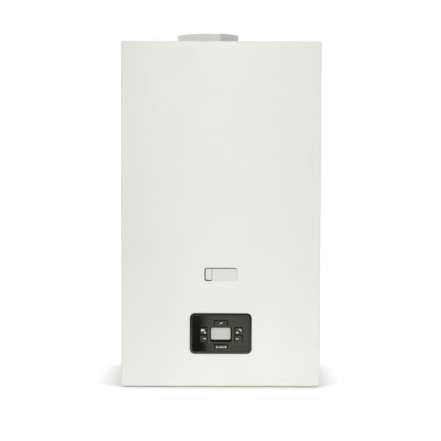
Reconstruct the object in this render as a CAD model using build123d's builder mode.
from build123d import *
import os
from math import cos, pi, radians, sin

os.makedirs("parts", exist_ok=True)

# Wall-hung combi boiler. Millimetres, +Z up, front facing -Y, +X to the right seen from
# the front. The origin is midway between the wall bracket's two screw holes, in the plane
# of the wall.

# ---------------------------------------------------------------- driving dimensions
# Casing
casing_width = 400.0
casing_height = 692.0
casing_depth = 330.0
top_above_bracket = 45.0
sheet = 1.2
cover_depth = 40.0
corner_radius = 4.5
edge_radius = 3.5
lip_width = 15.0
flange_width = 20.0
flange_joint = 0.5
seal_width = 12.0
seal_thickness = 3.0
skirt_height = 38.0
wall_gap = 1.0
cover_pin_spacing = 300.0
cover_pin_radius = 3.0
cover_pin_reach = 12.0
cover_pin_clearance = 0.6
seal_side_inset = 3.0
seal_end_inset = 4.0
base_hole_clearance = 1.5
knob_hole_clearance = 6.0

# Cover screws and their tabs
screw_spacing = 300.0
screw_radius = 2.5
screw_head_radius = 5.0
screw_head_height = 1.8
screw_length = 9.0
screw_clearance = 0.1
tab_width = 24.0
tab_reach = 18.0
tab_overlap = 10.0
tab_gap = 0.4
slot_clearance = 0.3
screw_setback = 9.0

# Wall bracket and rear frame
bracket_width = 300.0
bracket_height = 40.0
bracket_sheet = 3.0
bracket_hole_spacing = 240.0
bracket_hole_radius = 4.5
hook_spacing = 120.0
hook_width = 30.0
hook_above_screws = 10.0
hook_lip_height = 12.0
hook_side_clearance = 2.0
hook_front_clearance = 1.0
hook_slot_height = 18.0
frame_standoff = 10.5
frame_sheet = 1.5
frame_flange = 18.0
foot_radius = 12.5
foot_spacing = 240.0
foot_above_base = 48.0

# Control panel, its box and keys
panel_width = 123.6
panel_height = 81.6
panel_radius = 9.5
panel_above_bottom = 107.0
panel_proud = 1.5
panel_rim = 5.0
panel_recess = 1.0
panel_wall = 2.0
window_clearance = 0.7
wing_reach = 13.5
box_height = 148.0
box_above_base = 4.8
box_wall = 2.0
box_back = 1.0
bezel_back_gap = 2.8
wing_height = 30.0
wing_clearance = 1.5
board_thickness = 1.6
board_standoff = 7.0
board_side_margin = 20.0
board_transformer = (42.0, 36.0, 15.0)
transformer_x_on_board = 117.0
board_drop = -32.0
relay_size = (18.0, 16.0, 14.0)
relay_count = 3
relay_pitch = 24.0
relay_start = 60.0
fuse_block = (60.0, 28.0, 12.0)
fuse_x = 80.0
socket_size = (60.0, 24.0, 10.0)
socket_pitch = 93.0
socket_rise = 34.0
board_end_margin = 9.0
board_post_x = 130.0
board_post_inset = 25.0
board_post_radius = 4.0
lens_width = 39.2
lens_height = 23.4
lens_radius = 3.2
lens_clearance = 0.3
lcd_border = 2.4
key_proud = 0.6
key_flange = 0.8
key_flange_thickness = 1.0
key_behind_face = 0.3
key_travel = 1.0
key_stop_gap = 0.2
key_clearance = 0.4
key_gap = 0.8
key_corner = 3.5
key_inner_corner = 0.8
side_key_width = 17.0
side_key_height = 14.5
side_key_centre = 35.0
side_key_drop = 2.3
end_key_width = 26.8
end_key_height = 11.0
top_key_rise = 20.9
bottom_key_drop = 25.9
switch_size = 6.0
switch_nub = 2.0
switch_height = 1.5

# Badge plate
badge_width = 64.0
badge_height = 23.6
badge_radius = 3.0
badge_gap = 1.0
badge_above_bottom = 226.6
badge_shift = 0.7
badge_proud = 0.3
badge_flange = 4.0
badge_flange_thickness = 1.4
badge_tab = 12.8
badge_groove = 0.8

# Flue
flue_x = -29.0
flue_y = -140.0
collar_radius = 65.0
collar_wall = 1.5
collar_height = 27.0
collar_flange = 11.0
collar_flange_thickness = 1.5
flue_bore = 40.3
flue_wall = 4.2
spigot_radius = 41.0
spigot_bore = 38.0
spigot_height = 8.0
spigot_clearance = 0.3
socket_below_collar_top = 14.0

# Heat exchanger
barrel_radius = 120.0
barrel_wall = 6.0
barrel_standoff = 38.0
barrel_roof_gap = 53.8
barrel_rear_wall = 4.0
leg_radius = 8.0
leg_pitch_radius = 99.0
port_radius = 11.0
port_bore = 7.0
port_drop = 40.0
port_reach = 9.0
return_port_setback = 20.0
drain_offset = 69.0
drain_setback = 30.0
drain_length = 35.0
drain_radius = 12.0
drain_bore = 9.0
coil_outer = 104.0
coil_inner = 62.0
coil_core = 8.0
coil_count = 12
coil_tube = 9.0
coil_front_gap = 28.0
coil_wall = 1.0
coil_drilling = 3.0
door_thickness = 6.0
door_radius = 119.0
stud_radius = 2.5
stud_count = 6
stud_clearance = 0.4
stud_root = 10.0
stud_end = 2.0
nut_across = 8.0
nut_height = 5.0
nut_clearance = 0.05
hood_radius = 45.0
insulation_thickness = 15.0
insulation_radius = 108.0
burner_radius = 35.0
burner_wall = 1.5
burner_length = 110.0
burner_flange = 6.0
electrode_radius = 4.0
electrode_clearance = 0.3
electrode_offset = 54.0
electrode_angle = radians(20)
electrode_inside = 62.0
electrode_outside = 14.0
electrode_collar_radius = 8.0
electrode_collar_thickness = 2.0

# Fan and venturi
fan_right_of_flue = 50.0
fan_drop = 79.0
fan_radius = 72.0
fan_wall = 3.0
fan_depth = 60.0
duct_width = 44.0
duct_depth = 43.0
duct_door_gap = 1.0
duct_flange = 6.0
duct_flange_thickness = 4.0
duct_joint_rise = 4.0
duct_front_setback = 5.0
fan_inlet = 30.0
fan_motor_radius = 42.0
fan_motor_gap = 10.8
fan_motor_length = 33.0
motor_end_wall = 6.0
impeller_radius = 59.0
impeller_depth = 34.0
shaft_radius = 4.0
shaft_opening = 12.0
running_clearance = 0.05
blade_count = 24
blade_depth = 12.0
blade_gap = 10.0
blade_overrun = 2.0
terminal_height = 7.0
terminal_width = 20.0
terminal_setback = 4.0
shaft_end_gap = 8.0
venturi_mouth_depth = 12.0
gas_inlet_rise = 40.0
valve_coil_rise = 20.0
valve_coil_radius = 16.0
gas_pipe_fall = 70.0
venturi_radius = 38.0
venturi_length = 55.0
venturi_throat = 20.0

# Gas valve and gas pipe
valve_fan_gap = 6.0
valve_width = 50.0
valve_setback = 53.0
valve_depth = 50.0
valve_height = 90.0
valve_top_above_fan = 15.0
gas_port_radius = 12.0
gas_pipe_radius = 7.5
gas_pipe_bore = 6.0
gas_bend = 20.0

# Connections under the base
tail_pitch = 65.0
tail_y = -135.0
heating_thread_radius = 13.22
water_thread_radius = 10.48
tail_thread_length = 23.0
tail_hex_height = 8.0
tail_below_base = 3.0
heating_bore = 9.0
water_bore = 7.0
tail_hole_clearance = 3.0
boss_above_base = 18.0
boss_cap = 3.0
tail_neck_step = 1.2
tail_hex_step = 2.0

# Hydraulic blocks, pump and plate heat exchanger
column_setback = 47.0
column_radius = 20.0
column_bore = 14.0
link_radius = 15.0
cross_step = 0.6
boss_radius = 16.0
water_link_radius = 12.0
water_boss_radius = 14.0
arm_depth = 20.0
arm_top_above_base = 121.0
arm_below_link = 5.0
arm_inner_x = 45.0
water_bore_rise = 2.0
diverter_top_above_base = 169.0
riser_radius = 13.0
riser_height = 35.0
return_riser_height = 25.0
water_pipe_radius = 9.0
water_pipe_bore = 8.0
water_pipe_bend = 18.0
riser_side_gap = 11.8
pump_above_base = 129.0
pump_radius = 50.0
pump_motor_length = 53.0
pump_wall = 8.0
pump_flange = 4.0
pump_end_wall = 10.0
pump_shaft_end_gap = 14.0
pump_plug_width = 30.0
pump_plug_depth = 35.0
pump_plug_setback = 5.0
pump_plug_height = 10.0
pump_impeller_gap = 8.0
pump_eye = 9.0
pump_eye_depth = 6.0
pump_depth = 45.0
pump_motor_radius = 45.0
pump_impeller_radius = 36.0
pump_impeller_depth = 14.0
pump_joint_gap = 4.0
plate_pump_gap = 4.0
plate_height = 80.0
plate_depth = 57.0
plate_port_radius = 10.0
plate_port_length = 10.0
plate_port_inset = 16.0
plate_front_wall = 4.0
plate_port_z = 20.0
plate_count = 10
plate_groove = 1.2
plate_groove_depth = 1.5
plate_edge = 6.0
plate_channel = 3.2
actuator_radius = 22.0
actuator_height = 45.0
actuator_end_gap = 3.0
actuator_plug_width = 16.0
actuator_plug_height = 15.0
actuator_plug_depth = 7.0
actuator_plug_rise = 20.0
loose_clearance = 0.3
spindle_radius = 3.0
spindle_disc = 12.0
spindle_travel = 6.0
relief_above_base = 89.0
relief_side_gap = 6.8
relief_radius = 13.0
relief_stem_radius = 5.0
relief_stem_length = 12.0
relief_cap_radius = 14.0
relief_cap_length = 18.0
relief_pipe_radius = 8.5
relief_spigot_radius = 7.5
relief_spigot_length = 30.0
relief_pipe_bore = 5.5
relief_cap_gap = 0.5
relief_cap_face = 5.0
relief_stem_gap = 1.0
grip_count = 8
grip_radius = 3.0
grip_offset = 1.0
relief_seat = 6.0
bush_height = 6.0
plate_above_arm = 60.0
pump_cavity = 30.0
knob_boss = 14.0
knob_boss_wall = 5.0
knob_bore_depth = 10.0
knob_stem_depth = 8.0
knob_wing = 4.0
knob_disc = 8.0
turbine_height = 12.0
turbine_hub = 3.0
turbine_blade = 1.2
turbine_rise = 3.0
turbine_pin_end = 1.0
turbine_chamber = 8.0
vent_offset = 30.0
vent_setback = 27.0
vent_floor = 6.0
vent_ceiling = 4.0
vent_above_pump = 10.0
vent_link = 20.0
vent_link_overlap = 3.0
vent_radius = 16.0
vent_bore = 13.0
vent_valve_gap = 2.0
float_radius = 11.0
float_height = 22.0
float_travel = 10.0
float_top_gap = 6.0
guide_radius = 2.0
turbine_pin = 1.0
turbine_radius = 8.2
turbine_bore = 9.5
knob_left_of_column = 32.5
knob_radius = 14.0
knob_height = 22.0
knob_below_base = 4.0
knob_stem = 4.0

# Expansion vessel
vessel_radius = 160.0
vessel_depth = 88.0
vessel_base_gap = 23.8
vessel_bead = 4.0
vessel_wall = 1.5
vessel_edge = 28.0
vessel_port_x = 70.0
vessel_port_drop = 80.0
vessel_pipe_radius = 4.5
vessel_pipe_bore = 3.5
vessel_port_length = 8.0
vessel_port_root = 2.0
vessel_pipe_before_tails = 3.0
vessel_boss = 3.0
charge_rise = 90.0
charge_length = 16.0
charge_radius = 5.0
membrane_thickness = 2.0
membrane_clearance = 0.2
vessel_pipe_bend = 15.0

# Condensate trap
trap_radius = 26.0
trap_actuator_gap = 18.0
trap_outlet = 12.0
trap_wall = 2.0
hose_radius = 10.0
hose_bore = 8.0
hose_spigot_radius = 10.75
hose_spigot_length = 25.0
hose_bend = 35.0
hose_drop = 31.0
hose_side_step = 25.0
hose_front_step = 40.0
hose_bow = 4.0
hose_settle = 50.0
hose_exit_inset = 23.8
hose_exit_setback = 39.0
hose_below_base = 30.0

# Electrical pieces
transformer_width = 48.0
transformer_depth = 46.0
transformer_height = 60.0
transformer_y = -125.0
transformer_rise = 35.0
lead_radius = 2.5
lead_bend = 12.0
lead_setback = 17.0
lead_rear_inset = 15.0
lead_rise = 20.0
lead_sag = 10.0
fan_lead_shift = 36.0
fan_lead_fall = 26.0
spark_lead_setback = 8.0
lead_valve_inset = 8.0
gland_side_inset = 48.8
gland_setback = 49.0
gland_bore = 4.0
gland_nut_height = 5.0
gland_thread_end = 6.0
gland_thread_clearance = 0.2
gland_radius = 10.0
gland_nut_radius = 13.0
gland_below = 22.0

# ---------------------------------------------------------------- derived places
top_z = top_above_bracket
bottom_z = top_z - casing_height
middle_z = (top_z + bottom_z) / 2
front_y = -casing_depth
half_width = casing_width / 2
inner_x = half_width - sheet
roof_z = top_z - sheet
cover_back_y = front_y + cover_depth
chassis_y = cover_back_y + seal_thickness
flange_back_y = chassis_y + sheet
base_z = bottom_z + skirt_height
base_top_z = base_z + sheet
frame_back_y = -frame_standoff
frame_front_y = frame_back_y - frame_sheet
column_x = 2 * tail_pitch
boss_z = base_z + boss_above_base
link_z = boss_z + boss_radius
boss_top_z = link_z + water_link_radius + boss_cap
box_back_y = cover_back_y + box_back
pump_motor_front_y = box_back_y + pump_joint_gap
pump_front_y = pump_motor_front_y + pump_motor_length
column_y = pump_front_y + column_setback
pump_z = base_z + pump_above_base
arm_front_y = column_y - arm_depth / 2
arm_rear_y = column_y + arm_depth / 2
arm_top_z = base_z + arm_top_above_base
arm_bottom_z = link_z - arm_below_link
panel_z = bottom_z + panel_above_bottom
panel_front_y = front_y - panel_proud
face_y = panel_front_y + panel_recess
bezel_front_y = front_y + sheet + bezel_back_gap
bezel_back_y = bezel_front_y + panel_wall
box_bottom_z = base_top_z + box_above_base
box_top_z = box_bottom_z + box_height
box_z = (box_bottom_z + box_top_z) / 2
wing_x = half_width - lip_width - wing_clearance
box_width = 2 * (wing_x - wing_reach)
board_y = box_back_y - board_standoff - box_wall
board_width = box_width - 2 * board_side_margin
collar_top_z = top_z + collar_height
tail_top_z = boss_z
hex_top_z = base_z - tail_below_base
thread_top_z = hex_top_z - tail_hex_height
thread_bottom_z = thread_top_z - tail_thread_length
seal_top_z = top_z - seal_end_inset
seal_bottom_z = bottom_z + seal_end_inset
pin_z = seal_top_z - seal_width / 2
fan_motor_front_y = front_y + sheet + fan_motor_gap
fan_front_y = fan_motor_front_y + fan_motor_length
fan_rear_y = fan_front_y + fan_depth
duct_front_y = fan_front_y + duct_front_setback
duct_back_y = duct_front_y + duct_depth
door_front_y = duct_back_y + duct_door_gap
barrel_front_y = door_front_y + door_thickness
barrel_rear_y = frame_front_y - barrel_standoff
barrel_z = roof_z - barrel_roof_gap - barrel_radius
barrel_bottom_z = barrel_z - barrel_radius
port_z = barrel_z - port_drop
flow_port_y = column_y
return_port_y = barrel_front_y + return_port_setback
drain_x = flue_x - drain_offset
drain_y = barrel_front_y + drain_setback
trap_top_z = barrel_bottom_z - drain_length
duct_joint_z = barrel_bottom_z + duct_joint_rise
fan_x = flue_x + fan_right_of_flue
fan_z = duct_joint_z - fan_drop
outlet_x = fan_x - fan_radius + duct_width / 2
valve_left_x = fan_x + fan_radius + valve_fan_gap
valve_rear_y = fan_rear_y + valve_setback
valve_top_z = fan_z + valve_top_above_fan
flow_riser_x = -(inner_x - riser_side_gap - riser_radius)
return_riser_x = inner_x - riser_side_gap - riser_radius
relief_z = base_z + relief_above_base
relief_x = -(inner_x - relief_side_gap - relief_cap_length)
relief_pipe_x = (relief_x - column_x - column_radius) / 2
knob_x = column_x - knob_left_of_column
gland_x = inner_x - gland_side_inset
gland_y = box_back_y + gland_setback
hose_exit_x = -(inner_x - hose_exit_inset)
hose_exit_y = box_back_y + hose_exit_setback
plate_width = 2 * (column_x - pump_radius - plate_pump_gap)
plate_port_x = plate_width / 2 - plate_port_inset
vessel_z = base_top_z + vessel_base_gap + vessel_bead + vessel_radius
vessel_port_z = vessel_z - vessel_port_drop
turbine_z = boss_z + turbine_rise
vent_x = column_x - vent_offset
vent_y = pump_front_y + pump_depth + vent_setback
vent_top_z = valve_top_z - valve_height - vent_valve_gap
float_z = vent_top_z - vent_ceiling - float_top_gap - float_travel - float_height

UP = (Align.CENTER, Align.CENTER, Align.MIN)


# ---------------------------------------------------------------- shared shapes
def front_plane(y):
    """The plane at y that faces the front: x to the right, z up, extruding to the front."""
    return Plane.XZ.offset(-y)


def block(x_ends, y_ends, z_ends, mode=Mode.ADD):
    """A box between two corners."""
    low = Vector(min(x_ends), min(y_ends), min(z_ends))
    high = Vector(max(x_ends), max(y_ends), max(z_ends))
    size = high - low
    with Locations((low + high) / 2):
        Box(size.X, size.Y, size.Z, mode=mode)


def post(x, y, z_ends, radius, mode=Mode.ADD):
    """A round post along Z."""
    with Locations((x, y, min(z_ends))):
        Cylinder(radius, abs(z_ends[1] - z_ends[0]), align=UP, mode=mode)


def spindle(x, y_ends, z, radius, mode=Mode.ADD):
    """A round bar along Y."""
    with Locations((x, max(y_ends), z)):
        Cylinder(radius, abs(y_ends[1] - y_ends[0]), rotation=(90, 0, 0), align=UP, mode=mode)


def axle(x_ends, y, z, radius, mode=Mode.ADD):
    """A round bar along X."""
    with Locations((min(x_ends), y, z)):
        Cylinder(radius, abs(x_ends[1] - x_ends[0]), rotation=(0, 90, 0), align=UP, mode=mode)


def bent_tube(points, bend, radius, bore=0.0):
    """A tube along straight runs joined by tangent bends."""
    with BuildLine() as route:
        FilletPolyline(*points, radius=bend)
    with BuildSketch(Plane(origin=route.line @ 0, z_dir=route.line % 0)) as section:
        Circle(radius)
        if bore:
            Circle(bore, mode=Mode.SUBTRACT)
    sweep(section.sketch, path=route.line)


def frame_of(width, height, border, y, thickness, z, radius):
    """A flat ring, rounded outside, facing the front."""
    with BuildSketch(front_plane(y)) as ring:
        with Locations((0, z)):
            RectangleRounded(width, height, radius)
            Rectangle(width - 2 * border, height - 2 * border, mode=Mode.SUBTRACT)
    extrude(ring.sketch, amount=thickness)


def rounded(x, z, width, height, radius):
    """A rounded rectangle in a sketch on a front plane."""
    with Locations((x, z)):
        RectangleRounded(width, height, radius)


def write(piece, name):
    """Labels a finished piece and writes its STEP file."""
    piece.part.label = name
    export_step(piece.part, f"parts/{name}.step")


# ---------------------------------------------------------------- wall bracket
hook_back_y = -bracket_sheet
hook_lip_y = frame_front_y - hook_front_clearance
hook_top_z = hook_above_screws + bracket_sheet

with BuildPart() as wall_bracket:
    block((-bracket_width / 2, bracket_width / 2), (-bracket_sheet, 0),
          (-bracket_height / 2, bracket_height / 2))
    for side in (-1, 1):
        hook_x = side * hook_spacing / 2
        ends = (hook_x - hook_width / 2, hook_x + hook_width / 2)
        block(ends, (hook_lip_y - bracket_sheet, hook_back_y), (hook_above_screws, hook_top_z))
        block(ends, (hook_lip_y - bracket_sheet, hook_lip_y),
              (hook_above_screws, hook_top_z + hook_lip_height))
        spindle(side * bracket_hole_spacing / 2, (0, -bracket_sheet), 0, bracket_hole_radius,
                Mode.SUBTRACT)
write(wall_bracket, "wall_bracket")

# ---------------------------------------------------------------- rear frame and its feet
with BuildPart() as rear_frame:
    block((-inner_x, inner_x), (frame_front_y, frame_back_y), (base_top_z, roof_z))
    for side in (-1, 1):
        edge = (side * inner_x, side * (inner_x - frame_sheet))
        block(edge, (frame_front_y - frame_flange, frame_front_y), (base_top_z, roof_z))
        hook_x = side * hook_spacing / 2
        slot = hook_width / 2 + hook_side_clearance
        block((hook_x - slot, hook_x + slot), (frame_front_y, frame_back_y),
              (hook_top_z - hook_slot_height, hook_top_z), Mode.SUBTRACT)
    for ends in ((roof_z - frame_sheet, roof_z), (base_top_z, base_top_z + frame_sheet)):
        block((-inner_x, inner_x), (frame_front_y - frame_flange, frame_front_y), ends)
write(rear_frame, "rear_frame")

with BuildPart() as spacer_feet:
    for side in (-1, 1):
        spindle(side * foot_spacing / 2, (0, frame_back_y), base_top_z + foot_above_base, foot_radius)
write(spacer_feet, "spacer_feet")


# ---------------------------------------------------------------- casing panels
def side_panel(side):
    """A side sheet with its front edge turned in; side is -1 on the left."""
    with BuildPart() as panel:
        block((side * half_width, side * inner_x), (chassis_y, -wall_gap), (bottom_z, roof_z))
        block((side * inner_x, side * (inner_x - flange_width)), (chassis_y, flange_back_y),
              (bottom_z, roof_z))
    return panel


left_side_panel = side_panel(-1)
right_side_panel = side_panel(1)
write(left_side_panel, "left_side_panel")
write(right_side_panel, "right_side_panel")

cross_flange_x = inner_x - flange_width - flange_joint

with BuildPart() as top_panel:
    block((-half_width, half_width), (chassis_y, -wall_gap), (roof_z, top_z))
    block((-cross_flange_x, cross_flange_x), (chassis_y, flange_back_y), (roof_z - flange_width, roof_z))
    post(flue_x, flue_y, (roof_z, top_z), collar_radius - collar_wall, Mode.SUBTRACT)
    for side in (-1, 1):
        spindle(side * cover_pin_spacing / 2, (flange_back_y, chassis_y), pin_z,
                cover_pin_radius + cover_pin_clearance, Mode.SUBTRACT)
write(top_panel, "top_panel")

tab_z = bottom_z + sheet
base_lip_z = tab_z + sheet + tab_gap
screw_y = cover_back_y + screw_setback

with BuildPart() as base_plate:
    block((-inner_x, inner_x), (flange_back_y, -wall_gap), (base_z, base_top_z))
    block((-cross_flange_x, cross_flange_x), (chassis_y, flange_back_y), (base_lip_z, base_top_z))
    block((-cross_flange_x, cross_flange_x), (flange_back_y, cover_back_y + tab_reach),
          (base_lip_z, base_lip_z + sheet))
    for index in range(-2, 3):
        thread = water_thread_radius if index in (-1, 1) else heating_thread_radius
        post(index * tail_pitch, tail_y, (base_z, base_top_z), thread + tail_hole_clearance, Mode.SUBTRACT)
    post(relief_pipe_x, column_y, (base_z, base_top_z), relief_pipe_radius + base_hole_clearance,
         Mode.SUBTRACT)
    post(hose_exit_x, hose_exit_y, (base_z, base_top_z), hose_radius + base_hole_clearance,
         Mode.SUBTRACT)
    post(knob_x, column_y, (base_z, base_top_z), knob_stem + knob_hole_clearance, Mode.SUBTRACT)
    post(gland_x, gland_y, (base_z, base_top_z), gland_radius, Mode.SUBTRACT)
    for side in (-1, 1):
        post(side * screw_spacing / 2, screw_y, (base_lip_z, base_lip_z + sheet),
             screw_radius + screw_clearance, Mode.SUBTRACT)
write(base_plate, "base_plate")

seal_outer = 2 * (half_width - seal_side_inset)
seal_height = seal_top_z - seal_bottom_z

with BuildPart() as cover_seal:
    with BuildSketch(front_plane(chassis_y)):
        with Locations((0, (seal_top_z + seal_bottom_z) / 2)):
            Rectangle(seal_outer, seal_height)
            Rectangle(seal_outer - 2 * seal_width, seal_height - 2 * seal_width, mode=Mode.SUBTRACT)
        with Locations((-cover_pin_spacing / 2, pin_z), (cover_pin_spacing / 2, pin_z)):
            Circle(cover_pin_radius + cover_pin_clearance, mode=Mode.SUBTRACT)
    extrude(amount=seal_thickness)
write(cover_seal, "cover_seal")

# ---------------------------------------------------------------- front cover
badge_z = bottom_z + badge_above_bottom

with BuildPart() as front_cover:
    with BuildSketch(front_plane(cover_back_y)):
        rounded(0, middle_z, casing_width, casing_height, corner_radius)
    extrude(amount=cover_depth)
    fillet(front_cover.faces().sort_by(Axis.Y)[0].edges(), edge_radius)
    offset(amount=-sheet, openings=front_cover.faces().sort_by(Axis.Y)[-1])
    frame_of(casing_width, casing_height, lip_width, cover_back_y, sheet, middle_z, corner_radius)
    with BuildSketch(front_plane(front_y + cover_depth / 2)):
        rounded(0, panel_z, panel_width + 2 * window_clearance, panel_height + 2 * window_clearance,
                panel_radius + window_clearance)
        rounded(badge_shift, badge_z, badge_width + 2 * badge_gap, badge_height + 2 * badge_gap,
                badge_radius + badge_gap)
    extrude(amount=cover_depth, mode=Mode.SUBTRACT)
    for side in (-1, 1):
        spindle(side * cover_pin_spacing / 2, (cover_back_y, cover_back_y + cover_pin_reach), pin_z,
                cover_pin_radius)
        tab_x = side * screw_spacing / 2
        block((tab_x - tab_width / 2, tab_x + tab_width / 2),
              (cover_back_y - tab_overlap, cover_back_y + tab_reach), (tab_z, tab_z + sheet))
        slot = screw_radius + slot_clearance
        block((tab_x - slot, tab_x + slot), (screw_y, cover_back_y + tab_reach),
              (tab_z, tab_z + sheet), Mode.SUBTRACT)
        post(tab_x, screw_y, (tab_z, tab_z + sheet), slot, Mode.SUBTRACT)
write(front_cover, "front_cover")

with BuildPart() as cover_screws:
    for side in (-1, 1):
        tab_x = side * screw_spacing / 2
        post(tab_x, screw_y, (tab_z - screw_head_height, tab_z), screw_head_radius)
        post(tab_x, screw_y, (tab_z, tab_z + screw_length), screw_radius)
write(cover_screws, "cover_screws")

# The badge plate stands in its cut-out with a gap all round; its flange lies behind the cover.
with BuildPart() as badge_plate:
    with BuildSketch(front_plane(front_y + sheet + badge_flange_thickness)):
        rounded(badge_shift, badge_z, badge_width + 2 * badge_flange, badge_height + 2 * badge_flange,
                badge_radius + badge_flange)
    extrude(amount=badge_flange_thickness)
    with BuildSketch(front_plane(front_y + sheet)):
        rounded(badge_shift, badge_z, badge_width, badge_height, badge_radius)
    extrude(amount=sheet + badge_proud)
    groove_x = badge_shift - badge_width / 2 + badge_tab
    block((groove_x - badge_groove / 2, groove_x + badge_groove / 2), (front_y - badge_proud, front_y),
          (badge_z - badge_height / 2, badge_z + badge_height / 2), Mode.SUBTRACT)
write(badge_plate, "badge_plate")


# ---------------------------------------------------------------- control box
class Key:
    """A key's name, place from the panel's centre, size and which edge has round corners."""

    def __init__(self, name, x, z, width, height, round_edge):
        self.name = name
        self.x = x
        self.z = panel_z + z
        self.width = width
        self.height = height
        self.round_edge = round_edge


pair_offset = (side_key_height + key_gap) / 2
keys = [
    Key("key_top", 0, top_key_rise, end_key_width, end_key_height, 1),
    Key("key_bottom", 0, -bottom_key_drop, end_key_width, end_key_height, -1),
]
for hand, x in (("left", -side_key_centre), ("right", side_key_centre)):
    for edge, up in (("upper", 1), ("lower", -1)):
        rise = up * pair_offset - side_key_drop
        keys.append(Key(f"key_{hand}_{edge}", x, rise, side_key_width, side_key_height, up))

key_front_y = face_y - key_proud
key_flange_y = face_y + panel_wall + key_behind_face
switch_top_y = bezel_back_y - switch_height
plunger_y = switch_top_y - key_travel - key_stop_gap


def key_outline(key, grow):
    """A key's outline, with large corners on one edge; grow widens it all round."""
    with BuildSketch() as outline:
        Rectangle(key.width + 2 * grow, key.height + 2 * grow)
        large, small = (-1, 0) if key.round_edge > 0 else (0, -1)
        fillet(outline.vertices().group_by(Axis.Y)[large], key_corner + grow)
        fillet(outline.vertices().group_by(Axis.Y)[small], key_inner_corner + grow)
    return outline.sketch


# The box: a tray open to the front, with wings that lie on the side flanges.
with BuildPart() as control_tray:
    block((-box_width / 2, box_width / 2), (bezel_back_y, box_back_y), (box_bottom_z, box_top_z))
    block((-box_width / 2 + box_wall, box_width / 2 - box_wall), (bezel_back_y, box_back_y - box_wall),
          (box_bottom_z + box_wall, box_top_z - box_wall), Mode.SUBTRACT)
    for side in (-1, 1):
        for low in (box_bottom_z, box_top_z - wing_height):
            block((side * (box_width / 2 - box_wall), side * wing_x), (box_back_y - box_wall, chassis_y),
                  (low, low + wing_height))
        for z in (box_bottom_z + board_post_inset, box_top_z - board_post_inset):
            spindle(side * board_post_x, (box_back_y - box_wall, board_y), z, board_post_radius)
write(control_tray, "control_tray")

# The board carries its parts as plain blocks: x and z from its centre, then their sizes.
components = [(-transformer_x_on_board, board_drop, board_transformer)]
for index in range(relay_count):
    components.append((-relay_start + index * relay_pitch, board_drop, relay_size))
components.append((fuse_x, board_drop, fuse_block))
for index in (-1, 0, 1):
    components.append((index * socket_pitch, socket_rise, socket_size))

with BuildPart() as main_board:
    block((-board_width / 2, board_width / 2), (board_y, board_y - board_thickness),
          (box_bottom_z + board_end_margin, box_top_z - board_end_margin))
    for x, z, size in components:
        block((x - size[0] / 2, x + size[0] / 2),
              (board_y - board_thickness, board_y - board_thickness - size[2]),
              (box_z + z - size[1] / 2, box_z + z + size[1] / 2))
write(main_board, "main_board")

# The bezel closes the tray; its island stands through the cover's window.
lens_hole = (lens_width + 2 * lens_clearance, lens_height + 2 * lens_clearance,
             lens_radius + lens_clearance)

with BuildPart() as control_bezel:
    block((-box_width / 2, box_width / 2), (bezel_front_y, bezel_back_y), (box_bottom_z, box_top_z))
    with BuildSketch(front_plane(bezel_front_y)):
        rounded(0, panel_z, panel_width, panel_height, panel_radius)
    extrude(amount=bezel_front_y - panel_front_y)
    with BuildSketch(front_plane(bezel_back_y)):
        rounded(0, panel_z, panel_width - 2 * panel_wall, panel_height - 2 * panel_wall,
                panel_radius - panel_wall)
    extrude(amount=bezel_back_y - face_y - panel_wall, mode=Mode.SUBTRACT)
    with BuildSketch(front_plane(face_y)):
        rounded(0, panel_z, panel_width - 2 * panel_rim, panel_height - 2 * panel_rim,
                panel_radius - panel_rim)
    extrude(amount=panel_recess, mode=Mode.SUBTRACT)
    with BuildSketch(front_plane(face_y + panel_wall)):
        rounded(0, panel_z, *lens_hole)
        for key in keys:
            with Locations((key.x, key.z)):
                add(key_outline(key, key_clearance))
    extrude(amount=panel_wall, mode=Mode.SUBTRACT)
write(control_bezel, "control_bezel")

with BuildPart() as display_board:
    block((-panel_width / 2, panel_width / 2), (bezel_back_y, bezel_back_y + board_thickness),
          (panel_z - panel_height / 2, panel_z + panel_height / 2))
    for key in keys:
        block((key.x - switch_size / 2, key.x + switch_size / 2), (switch_top_y, bezel_back_y),
              (key.z - switch_size / 2, key.z + switch_size / 2))
write(display_board, "display_board")

lcd_front_y = face_y + panel_wall + key_behind_face
with BuildPart() as display_lcd:
    block((-lens_width / 2 - lcd_border, lens_width / 2 + lcd_border), (lcd_front_y, bezel_back_y),
          (panel_z - lens_height / 2 - lcd_border, panel_z + lens_height / 2 + lcd_border))
write(display_lcd, "display_lcd")

with BuildPart() as display_lens:
    with BuildSketch(front_plane(lcd_front_y)):
        rounded(0, panel_z, lens_width, lens_height, lens_radius)
    extrude(amount=lcd_front_y - panel_front_y)
write(display_lens, "display_lens")


def key_part(key):
    """A key cap with flanges behind the bezel at both ends and a nub over its switch."""
    flange_x = key.width / 2 + key_clearance + key_flange
    with BuildPart() as part:
        with BuildSketch(front_plane(key_flange_y)):
            with Locations((key.x, key.z)):
                add(key_outline(key, 0))
        extrude(amount=key_flange_y - key_front_y)
        block((key.x - flange_x, key.x + flange_x), (key_flange_y, key_flange_y + key_flange_thickness),
              (key.z - key.height / 2, key.z + key.height / 2))
        spindle(key.x, (key_flange_y + key_flange_thickness, plunger_y), key.z, switch_nub)
    return part


for key in keys:
    write(key_part(key), key.name)

# ---------------------------------------------------------------- flue
with BuildPart() as flue_collar:
    post(flue_x, flue_y, (top_z, collar_top_z), collar_radius)
    post(flue_x, flue_y, (top_z, top_z + collar_flange_thickness), collar_radius + collar_flange)
    post(flue_x, flue_y, (top_z, collar_top_z), collar_radius - collar_wall, Mode.SUBTRACT)
write(flue_collar, "flue_collar")

barrel_top_z = barrel_z + barrel_radius
spigot_top_z = barrel_top_z + spigot_height
socket_top_z = collar_top_z - socket_below_collar_top

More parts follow.
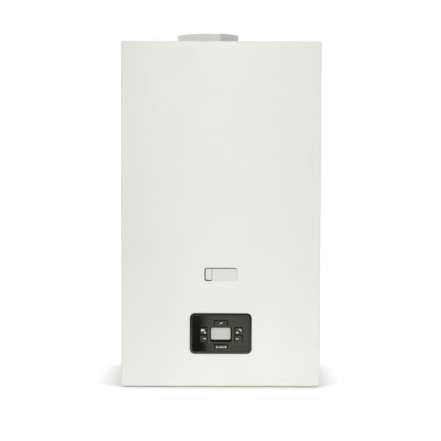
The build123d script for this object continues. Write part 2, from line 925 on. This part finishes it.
with BuildPart() as flue_socket:
    post(flue_x, flue_y, (barrel_top_z, socket_top_z), flue_bore + flue_wall)
    post(flue_x, flue_y, (spigot_top_z, socket_top_z), flue_bore, Mode.SUBTRACT)
    post(flue_x, flue_y, (barrel_top_z, spigot_top_z), spigot_radius + spigot_clearance, Mode.SUBTRACT)
write(flue_socket, "flue_socket")

# ---------------------------------------------------------------- heat exchanger
stud_circle = barrel_radius - barrel_wall / 2
stud_end_y = barrel_front_y - door_thickness - nut_height - stud_end
port_face = (barrel_radius ** 2 - port_drop ** 2) ** 0.5 + port_reach
flow_port_x = flue_x - port_face
return_port_x = flue_x + port_face

with BuildPart() as exchanger_shell:
    spindle(flue_x, (barrel_rear_y, barrel_front_y), barrel_z, barrel_radius)
    post(flue_x, flue_y, (barrel_z, spigot_top_z), spigot_radius)
    axle((flow_port_x, flue_x), flow_port_y, port_z, port_radius)
    axle((flue_x, return_port_x), return_port_y, port_z, port_radius)
    post(drain_x, drain_y, (trap_top_z, barrel_z), drain_radius)
    for turn in range(4):
        angle = radians(45 + 90 * turn)
        spindle(flue_x + leg_pitch_radius * cos(angle), (frame_front_y, barrel_rear_y),
                barrel_z + leg_pitch_radius * sin(angle), leg_radius)
    spindle(flue_x, (barrel_rear_y - barrel_rear_wall, barrel_front_y), barrel_z,
            barrel_radius - barrel_wall, Mode.SUBTRACT)
    post(flue_x, flue_y, (barrel_z, spigot_top_z), spigot_bore, Mode.SUBTRACT)
    axle((flow_port_x, flue_x), flow_port_y, port_z, port_bore, Mode.SUBTRACT)
    axle((flue_x, return_port_x), return_port_y, port_z, port_bore, Mode.SUBTRACT)
    post(drain_x, drain_y, (trap_top_z, barrel_z), drain_bore, Mode.SUBTRACT)
    for turn in range(stud_count):
        angle = 2 * pi * turn / stud_count
        spindle(flue_x + stud_circle * cos(angle), (barrel_front_y + stud_root, stud_end_y),
                barrel_z + stud_circle * sin(angle), stud_radius)
write(exchanger_shell, "exchanger_shell")

# Flat hollow turns of tube round the burner, drawn as rings whose water ways one drilling joins.
coil_rear_y = barrel_rear_y - barrel_rear_wall
coil_front_y = barrel_front_y + coil_front_gap
coil_middle = (coil_outer + coil_inner) / 2
coil_pitch = (coil_rear_y - coil_front_y - coil_tube) / (coil_count - 1)


def coil_rings(front_shift, outer, inner, thickness, mode=Mode.ADD):
    """One flat ring for each turn of the coil."""
    for turn in range(coil_count):
        with BuildSketch(front_plane(coil_rear_y - turn * coil_pitch - front_shift)) as ring:
            with Locations((flue_x, barrel_z)):
                Circle(outer)
                Circle(inner, mode=Mode.SUBTRACT)
        extrude(ring.sketch, amount=thickness, mode=mode)


with BuildPart() as exchanger_coil:
    spindle(flue_x, (coil_rear_y, coil_front_y), barrel_z, coil_middle + coil_core / 2)
    spindle(flue_x, (coil_rear_y, coil_front_y), barrel_z, coil_middle - coil_core / 2, Mode.SUBTRACT)
    coil_rings(0, coil_outer, coil_inner, coil_tube)
    coil_rings(coil_wall, coil_outer - coil_wall, coil_inner + coil_wall, coil_tube - 2 * coil_wall,
               Mode.SUBTRACT)
    spindle(flue_x + coil_middle, (coil_rear_y, coil_front_y + coil_tube / 2), barrel_z, coil_drilling,
            Mode.SUBTRACT)
write(exchanger_coil, "exchanger_coil")

duct_ends = (outlet_x - duct_width / 2, outlet_x + duct_width / 2)
duct_inside = (duct_ends[0] + fan_wall, duct_ends[1] - fan_wall)
duct_flange_ends = (duct_ends[0] - duct_flange, duct_ends[1] + duct_flange)
electrode_places = [(flue_x + electrode_offset * cos(angle), barrel_z + electrode_offset * sin(angle))
                    for angle in (electrode_angle, pi - electrode_angle)]

# The door carries a hood that leads the mixture from the fan to the burner.
with BuildPart() as burner_door:
    spindle(flue_x, (barrel_front_y, door_front_y), barrel_z, door_radius)
    block(duct_ends, (duct_front_y, door_front_y), (duct_joint_z, barrel_z))
    spindle(flue_x, (door_front_y, duct_front_y), barrel_z, hood_radius)
    block(duct_flange_ends, (duct_front_y, duct_back_y),
          (duct_joint_z, duct_joint_z + duct_flange_thickness))
    block(duct_inside, (duct_front_y + fan_wall, door_front_y), (duct_joint_z, barrel_z), Mode.SUBTRACT)
    spindle(flue_x, (barrel_front_y, duct_front_y + fan_wall), barrel_z, burner_radius - burner_wall,
            Mode.SUBTRACT)
    for turn in range(stud_count):
        angle = 2 * pi * turn / stud_count
        spindle(flue_x + stud_circle * cos(angle), (barrel_front_y, door_front_y),
                barrel_z + stud_circle * sin(angle), stud_radius + stud_clearance, Mode.SUBTRACT)
    for x, z in electrode_places:
        spindle(x, (barrel_front_y, door_front_y), z, electrode_radius + electrode_clearance, Mode.SUBTRACT)
write(burner_door, "burner_door")

with BuildPart() as door_nuts:
    for turn in range(stud_count):
        angle = 2 * pi * turn / stud_count
        with BuildSketch(front_plane(door_front_y)) as nut:
            with Locations((flue_x + stud_circle * cos(angle), barrel_z + stud_circle * sin(angle))):
                RegularPolygon(nut_across / 2, 6, major_radius=False)
                Circle(stud_radius + nut_clearance, mode=Mode.SUBTRACT)
        extrude(nut.sketch, amount=nut_height)
write(door_nuts, "door_nuts")

with BuildPart() as burner_tube:
    spindle(flue_x, (barrel_front_y, barrel_front_y + burner_wall), barrel_z, burner_radius + burner_flange)
    spindle(flue_x, (barrel_front_y, barrel_front_y + burner_length), barrel_z, burner_radius)
    spindle(flue_x, (barrel_front_y, barrel_front_y + burner_length - burner_wall), barrel_z,
            burner_radius - burner_wall, Mode.SUBTRACT)
write(burner_tube, "burner_tube")

with BuildPart() as door_insulation:
    spindle(flue_x, (barrel_front_y, barrel_front_y + insulation_thickness), barrel_z, insulation_radius)
    spindle(flue_x, (barrel_front_y, barrel_front_y + insulation_thickness), barrel_z,
            burner_radius + burner_flange + electrode_clearance, Mode.SUBTRACT)
    for x, z in electrode_places:
        spindle(x, (barrel_front_y, barrel_front_y + insulation_thickness), z,
                electrode_radius + electrode_clearance, Mode.SUBTRACT)
write(door_insulation, "door_insulation")

electrode_end_y = door_front_y - electrode_outside
with BuildPart() as electrodes:
    for x, z in electrode_places:
        spindle(x, (barrel_front_y + electrode_inside, electrode_end_y), z, electrode_radius)
        spindle(x, (door_front_y, door_front_y - electrode_collar_thickness), z, electrode_collar_radius)
write(electrodes, "electrodes")

# ---------------------------------------------------------------- fan, venturi and gas valve
fan_inside = (fan_rear_y - fan_wall, fan_front_y + fan_wall)

with BuildPart() as fan_housing:
    spindle(fan_x, (fan_rear_y, fan_front_y), fan_z, fan_radius)
    block(duct_ends, (duct_front_y, duct_back_y), (fan_z, duct_joint_z))
    block(duct_flange_ends, (duct_front_y, duct_back_y),
          (duct_joint_z - duct_flange_thickness, duct_joint_z))
    spindle(fan_x, fan_inside, fan_z, fan_radius - fan_wall, Mode.SUBTRACT)
    block(duct_inside, (duct_front_y + fan_wall, duct_back_y - fan_wall), (fan_z, duct_joint_z),
          Mode.SUBTRACT)
    spindle(fan_x, (fan_rear_y, fan_inside[0]), fan_z, fan_inlet, Mode.SUBTRACT)
    spindle(fan_x, (fan_inside[1], fan_front_y), fan_z, shaft_opening, Mode.SUBTRACT)
write(fan_housing, "fan_housing")

shaft_bore = shaft_radius + running_clearance

with BuildPart() as fan_motor:
    spindle(fan_x, (fan_front_y, fan_motor_front_y), fan_z, fan_motor_radius)
    block((fan_x - terminal_width / 2, fan_x + terminal_width / 2),
          (fan_front_y, fan_motor_front_y + terminal_setback),
          (fan_z - fan_motor_radius - terminal_height, fan_z))
    spindle(fan_x, (fan_front_y, fan_motor_front_y + motor_end_wall), fan_z, shaft_bore, Mode.SUBTRACT)
write(fan_motor, "fan_motor")

impeller_middle_y = sum(fan_inside) / 2
impeller_ends = (impeller_middle_y + impeller_depth / 2, impeller_middle_y - impeller_depth / 2)

with BuildPart() as fan_impeller:
    spindle(fan_x, (impeller_ends[1] + fan_wall, impeller_ends[1]), fan_z, impeller_radius)
    spindle(fan_x, impeller_ends, fan_z, impeller_radius)
    spindle(fan_x, (impeller_ends[0], impeller_ends[1] + fan_wall), fan_z,
            impeller_radius - blade_depth, Mode.SUBTRACT)
    with BuildSketch(front_plane(impeller_ends[0] - fan_wall)) as gaps:
        with Locations((fan_x, fan_z)):
            with PolarLocations(impeller_radius - blade_depth / 2, blade_count):
                Rectangle(blade_depth + blade_overrun, blade_gap)
    extrude(gaps.sketch, amount=impeller_depth - 2 * fan_wall, mode=Mode.SUBTRACT)
    spindle(fan_x, (impeller_ends[1] + fan_wall, fan_motor_front_y + shaft_end_gap), fan_z,
            shaft_radius)
write(fan_impeller, "fan_impeller")

valve_y = valve_rear_y - valve_depth / 2
valve_x = valve_left_x + valve_width / 2
venturi_rear_y = fan_rear_y + venturi_length

with BuildPart() as venturi:
    spindle(fan_x, (fan_rear_y, venturi_rear_y), fan_z, venturi_radius)
    axle((fan_x, valve_left_x), valve_y, fan_z, gas_port_radius)
    spindle(fan_x, (fan_rear_y, venturi_rear_y), fan_z, venturi_throat, Mode.SUBTRACT)
    spindle(fan_x, (venturi_rear_y - venturi_mouth_depth, venturi_rear_y), fan_z, fan_inlet, Mode.SUBTRACT)
    spindle(fan_x, (fan_rear_y, fan_rear_y + venturi_mouth_depth), fan_z, fan_inlet, Mode.SUBTRACT)
    axle((fan_x, valve_left_x), valve_y, fan_z, port_bore, Mode.SUBTRACT)
write(venturi, "venturi")

gas_inlet_z = valve_top_z - valve_height + gas_inlet_rise

with BuildPart() as gas_valve:
    block((valve_left_x, valve_left_x + valve_width), (valve_rear_y, valve_rear_y - valve_depth),
          (valve_top_z - valve_height, valve_top_z))
    post(valve_x, valve_y, (valve_top_z, valve_top_z + valve_coil_rise), valve_coil_radius)
    axle((valve_left_x, valve_x), valve_y, fan_z, port_bore, Mode.SUBTRACT)
    spindle(valve_x, (valve_rear_y, valve_y), gas_inlet_z, port_bore, Mode.SUBTRACT)
    post(valve_x, valve_y, (gas_inlet_z, fan_z), port_bore, Mode.SUBTRACT)
write(gas_valve, "gas_valve")


# ---------------------------------------------------------------- connections
def tail(x, thread, bore):
    """A threaded tail with a hexagon: neck up through the base, thread down."""
    post(x, tail_y, (hex_top_z, tail_top_z), thread - tail_neck_step)
    post(x, tail_y, (thread_bottom_z, thread_top_z), thread)
    with BuildSketch(Plane.XY.offset(thread_top_z)) as hexagon:
        with Locations((x, tail_y)):
            RegularPolygon(thread + tail_hex_step, 6, major_radius=False)
    extrude(hexagon.sketch, amount=tail_hex_height)
    post(x, tail_y, (thread_bottom_z, tail_top_z), bore, Mode.SUBTRACT)


with BuildPart() as pipe_tails:
    for side in (-1, 1):
        tail(side * column_x, heating_thread_radius, heating_bore)
        tail(side * tail_pitch, water_thread_radius, water_bore)
write(pipe_tails, "pipe_tails")

with BuildPart() as gas_pipe:
    tail(0, heating_thread_radius, gas_pipe_bore)
    gas_turn_z = gas_inlet_z - gas_pipe_fall
    bent_tube([(0, tail_y, tail_top_z), (0, tail_y, gas_turn_z), (valve_x, tail_y, gas_inlet_z),
               (valve_x, valve_rear_y, gas_inlet_z)], gas_bend, gas_pipe_radius, gas_pipe_bore)
write(gas_pipe, "gas_pipe")


# ---------------------------------------------------------------- hydraulic blocks
def hydraulic_body(side, column_top):
    """A column, its link to the heating tail, and the arm behind the plate exchanger."""
    post(side * column_x, column_y, (boss_z, column_top), column_radius)
    spindle(side * column_x, (tail_y, column_y), link_z, link_radius)
    post(side * column_x, tail_y, (boss_z, link_z), boss_radius)
    block((side * arm_inner_x, side * column_x), (arm_front_y, arm_rear_y), (arm_bottom_z, arm_top_z))
    spindle(side * tail_pitch, (tail_y, arm_rear_y), link_z, water_link_radius)
    post(side * tail_pitch, tail_y, (boss_z, boss_top_z), water_boss_radius)


def hydraulic_bores(side, column_bore_top):
    """The water ways that both blocks have."""
    post(side * column_x, column_y, (link_z, column_bore_top), column_bore, Mode.SUBTRACT)
    spindle(side * column_x, (tail_y, column_y), link_z, heating_bore - cross_step, Mode.SUBTRACT)
    post(side * column_x, tail_y, (boss_z, link_z), heating_bore, Mode.SUBTRACT)
    spindle(side * tail_pitch, (tail_y, arm_front_y), link_z + water_bore_rise, water_bore - cross_step,
            Mode.SUBTRACT)
    for z in (plate_z - plate_port_z, plate_z + plate_port_z):
        spindle(side * plate_port_x, (column_y, arm_front_y), z, water_bore, Mode.SUBTRACT)


plate_z = arm_bottom_z + plate_above_arm
plate_back_y = arm_front_y - plate_port_length
diverter_top_z = base_z + diverter_top_above_base
flow_riser_top_z = diverter_top_z + riser_height
guide_bore = spindle_radius + running_clearance
riser_link_z = diverter_top_z - riser_radius
relief_spigot_top_z = thread_bottom_z + relief_spigot_length

with BuildPart() as diverter_block:
    hydraulic_body(-1, diverter_top_z)
    axle((flow_riser_x, -column_x), column_y, riser_link_z, riser_radius - cross_step)
    post(flow_riser_x, flow_port_y, (riser_link_z, flow_riser_top_z), riser_radius)
    axle((relief_x, -column_x), column_y, relief_z, relief_radius)
    axle((relief_x - relief_stem_length, relief_x), column_y, relief_z, relief_stem_radius)
    post(relief_pipe_x, column_y, (relief_spigot_top_z, relief_z), relief_pipe_radius)
    post(relief_pipe_x, column_y, (thread_bottom_z, relief_z), relief_spigot_radius)
    hydraulic_bores(-1, diverter_top_z - bush_height)
    post(-column_x, column_y, (diverter_top_z - bush_height, diverter_top_z), guide_bore, Mode.SUBTRACT)
    axle((flow_riser_x, -column_x), column_y, riser_link_z, water_pipe_bore - cross_step, Mode.SUBTRACT)
    post(flow_riser_x, flow_port_y, (riser_link_z, flow_riser_top_z), water_pipe_bore, Mode.SUBTRACT)
    axle((relief_x + relief_seat, -column_x), column_y, relief_z, relief_pipe_bore - cross_step,
         Mode.SUBTRACT)
    post(relief_pipe_x, column_y, (thread_bottom_z, relief_z), relief_pipe_bore, Mode.SUBTRACT)
    post(-tail_pitch, tail_y, (boss_z, link_z), water_bore, Mode.SUBTRACT)
write(diverter_block, "diverter_block")

rod_bottom_z = relief_z - 2 * relief_radius
rod_top_z = diverter_top_z + actuator_height / 3
disc_z = arm_top_z - 3 * spindle_travel
actuator_plug_y = column_y - actuator_radius - actuator_plug_depth

with BuildPart() as diverter_spindle:
    post(-column_x, column_y, (rod_bottom_z, rod_top_z), spindle_radius)
    for z in (rod_bottom_z, disc_z):
        post(-column_x, column_y, (z, z + spindle_travel), spindle_disc)
write(diverter_spindle, "diverter_spindle")

with BuildPart() as diverter_actuator:
    post(-column_x, column_y, (diverter_top_z, diverter_top_z + actuator_height), actuator_radius)
    block((-column_x - actuator_plug_width / 2, -column_x + actuator_plug_width / 2),
          (actuator_plug_y, column_y),
          (diverter_top_z + actuator_plug_rise, diverter_top_z + actuator_plug_rise + actuator_plug_height))
    post(-column_x, column_y, (diverter_top_z, rod_top_z + spindle_travel + actuator_end_gap),
         spindle_radius + loose_clearance, Mode.SUBTRACT)
write(diverter_actuator, "diverter_actuator")

with BuildPart() as relief_cap:
    axle((relief_x - relief_cap_length, relief_x - relief_cap_gap), column_y, relief_z, relief_cap_radius)
    with BuildSketch(Plane.YZ.offset(relief_x - relief_cap_length)) as grips:
        with Locations((column_y, relief_z)):
            with PolarLocations(relief_cap_radius + grip_offset, grip_count):
                Circle(grip_radius)
    extrude(grips.sketch, amount=relief_cap_length - relief_cap_face, mode=Mode.SUBTRACT)
    axle((relief_x - relief_stem_length - relief_stem_gap, relief_x), column_y, relief_z,
         relief_stem_radius + running_clearance, Mode.SUBTRACT)
write(relief_cap, "relief_cap")

pump_rear_y = pump_front_y + pump_depth
return_riser_top_z = pump_z + pump_radius + return_riser_height
cavity_rear_y = pump_front_y + pump_cavity
vent_bottom_z = pump_z + vent_above_pump
column_rear_y = column_y + column_radius + vessel_boss

with BuildPart() as pump_housing:
    hydraulic_body(1, pump_z)
    spindle(column_x, (pump_rear_y, pump_front_y), pump_z, pump_radius)
    post(return_riser_x, return_port_y, (pump_z, return_riser_top_z), riser_radius)
    post(vent_x, vent_y, (vent_bottom_z, vent_top_z), vent_radius)
    block((vent_x - vent_link / 2, vent_x + vent_link / 2), (vent_y, pump_rear_y - vent_link_overlap),
          (vent_bottom_z, vent_bottom_z + vent_link))
    spindle(column_x, (column_rear_y, column_y), vessel_port_z, 2 * vessel_pipe_radius)
    post(knob_x, column_y, (arm_bottom_z - knob_boss, arm_bottom_z), knob_stem + knob_boss_wall)
    hydraulic_bores(1, pump_z)
    spindle(column_x, (cavity_rear_y, pump_front_y), pump_z, pump_radius - pump_wall, Mode.SUBTRACT)
    spindle(column_x, (column_y, cavity_rear_y), pump_z, spindle_disc, Mode.SUBTRACT)
    post(return_riser_x, return_port_y, (pump_z, return_riser_top_z), water_pipe_bore, Mode.SUBTRACT)
    post(vent_x, vent_y, (vent_bottom_z + vent_floor, vent_top_z - vent_ceiling), vent_bore,
         Mode.SUBTRACT)
    spindle(column_x, (column_rear_y, column_y), vessel_port_z, vessel_pipe_bore, Mode.SUBTRACT)
    post(knob_x, column_y, (arm_bottom_z - knob_boss, arm_bottom_z + knob_bore_depth),
         knob_stem + running_clearance, Mode.SUBTRACT)
    post(tail_pitch, tail_y, (boss_z, link_z + turbine_chamber), turbine_bore, Mode.SUBTRACT)
    post(vent_x, vent_y, (vent_bottom_z, vent_top_z), guide_radius)
    post(tail_pitch, tail_y, (turbine_z - turbine_pin_end, boss_top_z), turbine_pin)
write(pump_housing, "pump_housing")

with BuildPart() as flow_turbine:
    post(tail_pitch, tail_y, (turbine_z, turbine_z + turbine_height), turbine_hub)
    for turn in range(2):
        with BuildSketch(Plane.XY.offset(turbine_z)) as blades:
            with Locations((tail_pitch, tail_y)):
                Rectangle(2 * turbine_radius, turbine_blade, rotation=90 * turn)
        extrude(blades.sketch, amount=turbine_height)
    post(tail_pitch, tail_y, (turbine_z, turbine_z + turbine_height), turbine_pin + running_clearance,
         Mode.SUBTRACT)
write(flow_turbine, "flow_turbine")

with BuildPart() as vent_float:
    post(vent_x, vent_y, (float_z, float_z + float_height), float_radius)
    post(vent_x, vent_y, (float_z, float_z + float_height), guide_radius + running_clearance,
         Mode.SUBTRACT)
write(vent_float, "vent_float")

pump_terminal_z = pump_z + pump_motor_radius + pump_plug_height
with BuildPart() as pump_motor:
    spindle(column_x, (pump_front_y, pump_motor_front_y), pump_z, pump_motor_radius)
    spindle(column_x, (pump_front_y, pump_front_y - pump_flange), pump_z, pump_radius)
    plug_front_y = pump_motor_front_y + pump_plug_setback
    block((column_x - pump_plug_width / 2, column_x + pump_plug_width / 2),
          (plug_front_y, plug_front_y + pump_plug_depth), (pump_z, pump_terminal_z))
    spindle(column_x, (pump_front_y, pump_motor_front_y + pump_end_wall), pump_z, shaft_bore,
            Mode.SUBTRACT)
write(pump_motor, "pump_motor")

impeller_rear_y = cavity_rear_y - pump_impeller_gap
with BuildPart() as pump_impeller:
    spindle(column_x, (impeller_rear_y, impeller_rear_y - pump_impeller_depth), pump_z,
            pump_impeller_radius)
    spindle(column_x, (impeller_rear_y, pump_motor_front_y + pump_shaft_end_gap), pump_z, shaft_radius)
    spindle(column_x, (impeller_rear_y, impeller_rear_y - pump_eye_depth), pump_z, pump_eye,
            Mode.SUBTRACT)
write(pump_impeller, "pump_impeller")

plate_front_y = plate_back_y - plate_depth
with BuildPart() as plate_exchanger:
    block((-plate_width / 2, plate_width / 2), (plate_front_y, plate_back_y),
          (plate_z - plate_height / 2, plate_z + plate_height / 2))
    for index in range(plate_count):
        groove_y = plate_back_y - (index + 0.5) * plate_depth / plate_count
        with BuildSketch(front_plane(groove_y)) as groove:
            with Locations((0, plate_z)):
                Rectangle(plate_width, plate_height)
                Rectangle(plate_width - 2 * plate_groove_depth, plate_height - 2 * plate_groove_depth,
                          mode=Mode.SUBTRACT)
        extrude(groove.sketch, amount=plate_groove, mode=Mode.SUBTRACT)
    for index in range(1, plate_count):
        channel_y = plate_back_y - index * plate_depth / plate_count
        block((-plate_width / 2 + plate_edge, plate_width / 2 - plate_edge),
              (channel_y, channel_y + plate_channel),
              (plate_z - plate_height / 2 + plate_edge, plate_z + plate_height / 2 - plate_edge),
              Mode.SUBTRACT)
    for side in (-1, 1):
        for z in (plate_z - plate_port_z, plate_z + plate_port_z):
            spindle(side * plate_port_x, (arm_front_y, plate_back_y), z, plate_port_radius)
            spindle(side * plate_port_x, (arm_front_y, plate_front_y + plate_front_wall), z, water_bore,
                    Mode.SUBTRACT)
write(plate_exchanger, "plate_exchanger")

with BuildPart() as flow_pipe:
    bent_tube([(flow_port_x, flow_port_y, port_z), (flow_riser_x, flow_port_y, port_z),
               (flow_riser_x, flow_port_y, flow_riser_top_z)],
              water_pipe_bend, water_pipe_radius, water_pipe_bore)
write(flow_pipe, "flow_pipe")

with BuildPart() as return_pipe:
    bent_tube([(return_port_x, return_port_y, port_z), (return_riser_x, return_port_y, port_z),
               (return_riser_x, return_port_y, return_riser_top_z)],
              water_pipe_bend, water_pipe_radius, water_pipe_bore)
write(return_pipe, "return_pipe")

# ---------------------------------------------------------------- expansion vessel
vessel_front_y = frame_front_y - vessel_depth
vessel_port_y = vessel_front_y - vessel_port_length
charge_z = vessel_z + charge_rise


def vessel_shell(shrink, mode=Mode.ADD):
    """The flat round vessel, shrunk all round by a wall."""
    with BuildSketch(Plane.XY.offset(vessel_z)) as profile:
        with Locations((0, frame_front_y - shrink)):
            Rectangle(vessel_radius - shrink, vessel_depth - 2 * shrink, align=(Align.MIN, Align.MAX))
        fillet(profile.vertices().group_by(Axis.X)[-1], vessel_edge - shrink)
    revolve(profile.sketch, axis=Axis((0, 0, vessel_z), (0, 1, 0)), mode=mode)


with BuildPart() as expansion_vessel:
    vessel_shell(0)
    middle_y = frame_front_y - vessel_depth / 2
    spindle(0, (middle_y + vessel_bead, middle_y - vessel_bead), vessel_z, vessel_radius + vessel_bead)
    spindle(vessel_port_x, (vessel_front_y + vessel_port_root, vessel_port_y), vessel_port_z,
            2 * vessel_pipe_radius)
    spindle(-vessel_port_x, (vessel_front_y + vessel_port_root, vessel_front_y - charge_length), charge_z,
            charge_radius)
    vessel_shell(vessel_wall, Mode.SUBTRACT)
    spindle(vessel_port_x, (vessel_front_y + vessel_port_root, vessel_port_y), vessel_port_z,
            vessel_pipe_bore, Mode.SUBTRACT)
write(expansion_vessel, "expansion_vessel")

with BuildPart() as vessel_membrane:
    spindle(0, (middle_y + membrane_thickness / 2, middle_y - membrane_thickness / 2), vessel_z,
            vessel_radius - vessel_wall - membrane_clearance)
write(vessel_membrane, "vessel_membrane")

vessel_pipe_y = tail_y - vessel_pipe_before_tails
with BuildPart() as vessel_pipe:
    bent_tube([(vessel_port_x, vessel_port_y, vessel_port_z), (vessel_port_x, vessel_pipe_y, vessel_port_z),
               (column_x, vessel_pipe_y, vessel_port_z), (column_x, column_rear_y, vessel_port_z)],
              vessel_pipe_bend, vessel_pipe_radius, vessel_pipe_bore)
write(vessel_pipe, "vessel_pipe")

with BuildPart() as fill_knob:
    knob_top_z = base_z - knob_below_base
    post(knob_x, column_y, (knob_top_z, arm_bottom_z + knob_stem_depth), knob_stem)
    post(knob_x, column_y, (knob_top_z - knob_height, knob_top_z), knob_radius)
    for side in (-1, 1):
        block((knob_x - knob_radius, knob_x + knob_radius),
              (column_y + side * knob_wing, column_y + side * knob_radius),
              (knob_top_z - knob_height, knob_top_z - knob_disc), Mode.SUBTRACT)
write(fill_knob, "fill_knob")

# ---------------------------------------------------------------- condensate trap and hose
trap_bottom_z = diverter_top_z + actuator_height + trap_actuator_gap
trap_outlet_z = trap_bottom_z - trap_outlet

with BuildPart() as condensate_trap:
    post(drain_x, drain_y, (trap_bottom_z, trap_top_z), trap_radius)
    post(drain_x, drain_y, (trap_outlet_z, trap_bottom_z), hose_radius)
    post(drain_x, drain_y, (trap_bottom_z + trap_wall, trap_top_z - trap_wall), trap_radius - trap_wall,
         Mode.SUBTRACT)
    post(drain_x, drain_y, (trap_top_z - trap_wall, trap_top_z), drain_bore, Mode.SUBTRACT)
    post(drain_x, drain_y, (trap_outlet_z, trap_bottom_z + trap_wall), hose_bore, Mode.SUBTRACT)
write(condensate_trap, "condensate_trap")

hose_end_z = base_z - hose_below_base
hose_points = [
    (drain_x, drain_y, trap_outlet_z),
    (drain_x, drain_y, trap_outlet_z - hose_drop),
    (drain_x - hose_side_step, drain_y - hose_front_step, trap_outlet_z - hose_drop - hose_bend),
    (hose_exit_x + hose_bow, hose_exit_y - hose_bow, trap_outlet_z - hose_drop - 2 * hose_bend),
    (hose_exit_x, hose_exit_y, trap_outlet_z - hose_drop - 2 * hose_bend - hose_settle),
    (hose_exit_x, hose_exit_y, hose_end_z),
]
with BuildPart() as condensate_hose:
    bent_tube(hose_points, hose_bend, hose_radius, hose_bore)
    post(hose_exit_x, hose_exit_y, (hose_end_z, hose_end_z + hose_spigot_length), hose_spigot_radius)
    post(hose_exit_x, hose_exit_y, (hose_end_z, hose_end_z + hose_spigot_length), hose_bore,
         Mode.SUBTRACT)
write(condensate_hose, "condensate_hose")

# ---------------------------------------------------------------- electrical pieces
transformer_x = inner_x - transformer_width
transformer_z = barrel_z + transformer_rise
with BuildPart() as ignition_transformer:
    block((transformer_x, inner_x),
          (transformer_y - transformer_depth / 2, transformer_y + transformer_depth / 2),
          (transformer_z - transformer_height / 2, transformer_z + transformer_height / 2))
write(ignition_transformer, "ignition_transformer")

lead_y = box_back_y - lead_setback
fan_terminal_z = fan_z - fan_motor_radius - terminal_height
fan_terminal_y = fan_front_y - lead_rear_inset
fan_lead_x = fan_x + fan_lead_shift
spark_x, spark_z = electrode_places[0]
spark_y = duct_front_y + spark_lead_setback
spark_lead_x = return_port_x + lead_setback
pump_terminal_y = pump_motor_front_y + pump_plug_setback + pump_plug_depth / 2
valve_lead_x = valve_left_x + lead_valve_inset
actuator_lead_z = diverter_top_z + actuator_plug_rise + actuator_plug_height / 2
lead_paths = [
    [(transformer_x, transformer_y, transformer_z), (spark_lead_x, transformer_y, transformer_z),
     (spark_lead_x, spark_y, transformer_z - lead_sag), (spark_x, spark_y, spark_z),
     (spark_x, electrode_end_y, spark_z)],
    [(fan_x, fan_terminal_y, fan_terminal_z), (fan_x, fan_terminal_y, fan_terminal_z - lead_rise),
     (fan_lead_x, lead_y, fan_terminal_z - lead_rise - fan_lead_fall), (fan_lead_x, lead_y, box_top_z)],
    [(column_x, pump_terminal_y, pump_terminal_z), (column_x, pump_terminal_y, pump_terminal_z + lead_rise),
     (column_x, lead_y, pump_terminal_z + lead_rise), (column_x, lead_y, box_top_z)],
    [(valve_lead_x, valve_rear_y - valve_depth, gas_inlet_z + lead_sag),
     (valve_lead_x, lead_y, gas_inlet_z + lead_sag), (valve_lead_x, lead_y, box_top_z)],
    [(-column_x, actuator_plug_y, actuator_lead_z), (-column_x, lead_y, actuator_lead_z),
     (-column_x, lead_y, box_top_z)],
]
with BuildPart() as internal_leads:
    for path in lead_paths:
        bent_tube(path, lead_bend, lead_radius)
write(internal_leads, "internal_leads")

gland_top_z = base_top_z + gland_thread_end
with BuildPart() as cable_gland:
    post(gland_x, gland_y, (base_z, gland_top_z), gland_radius - gland_thread_clearance)
    post(gland_x, gland_y, (base_top_z, base_top_z + gland_nut_height), gland_nut_radius)
    post(gland_x, gland_y, (base_z - gland_below, base_z), gland_nut_radius)
    post(gland_x, gland_y, (base_z - gland_below, gland_top_z), gland_bore, Mode.SUBTRACT)
write(cable_gland, "cable_gland")
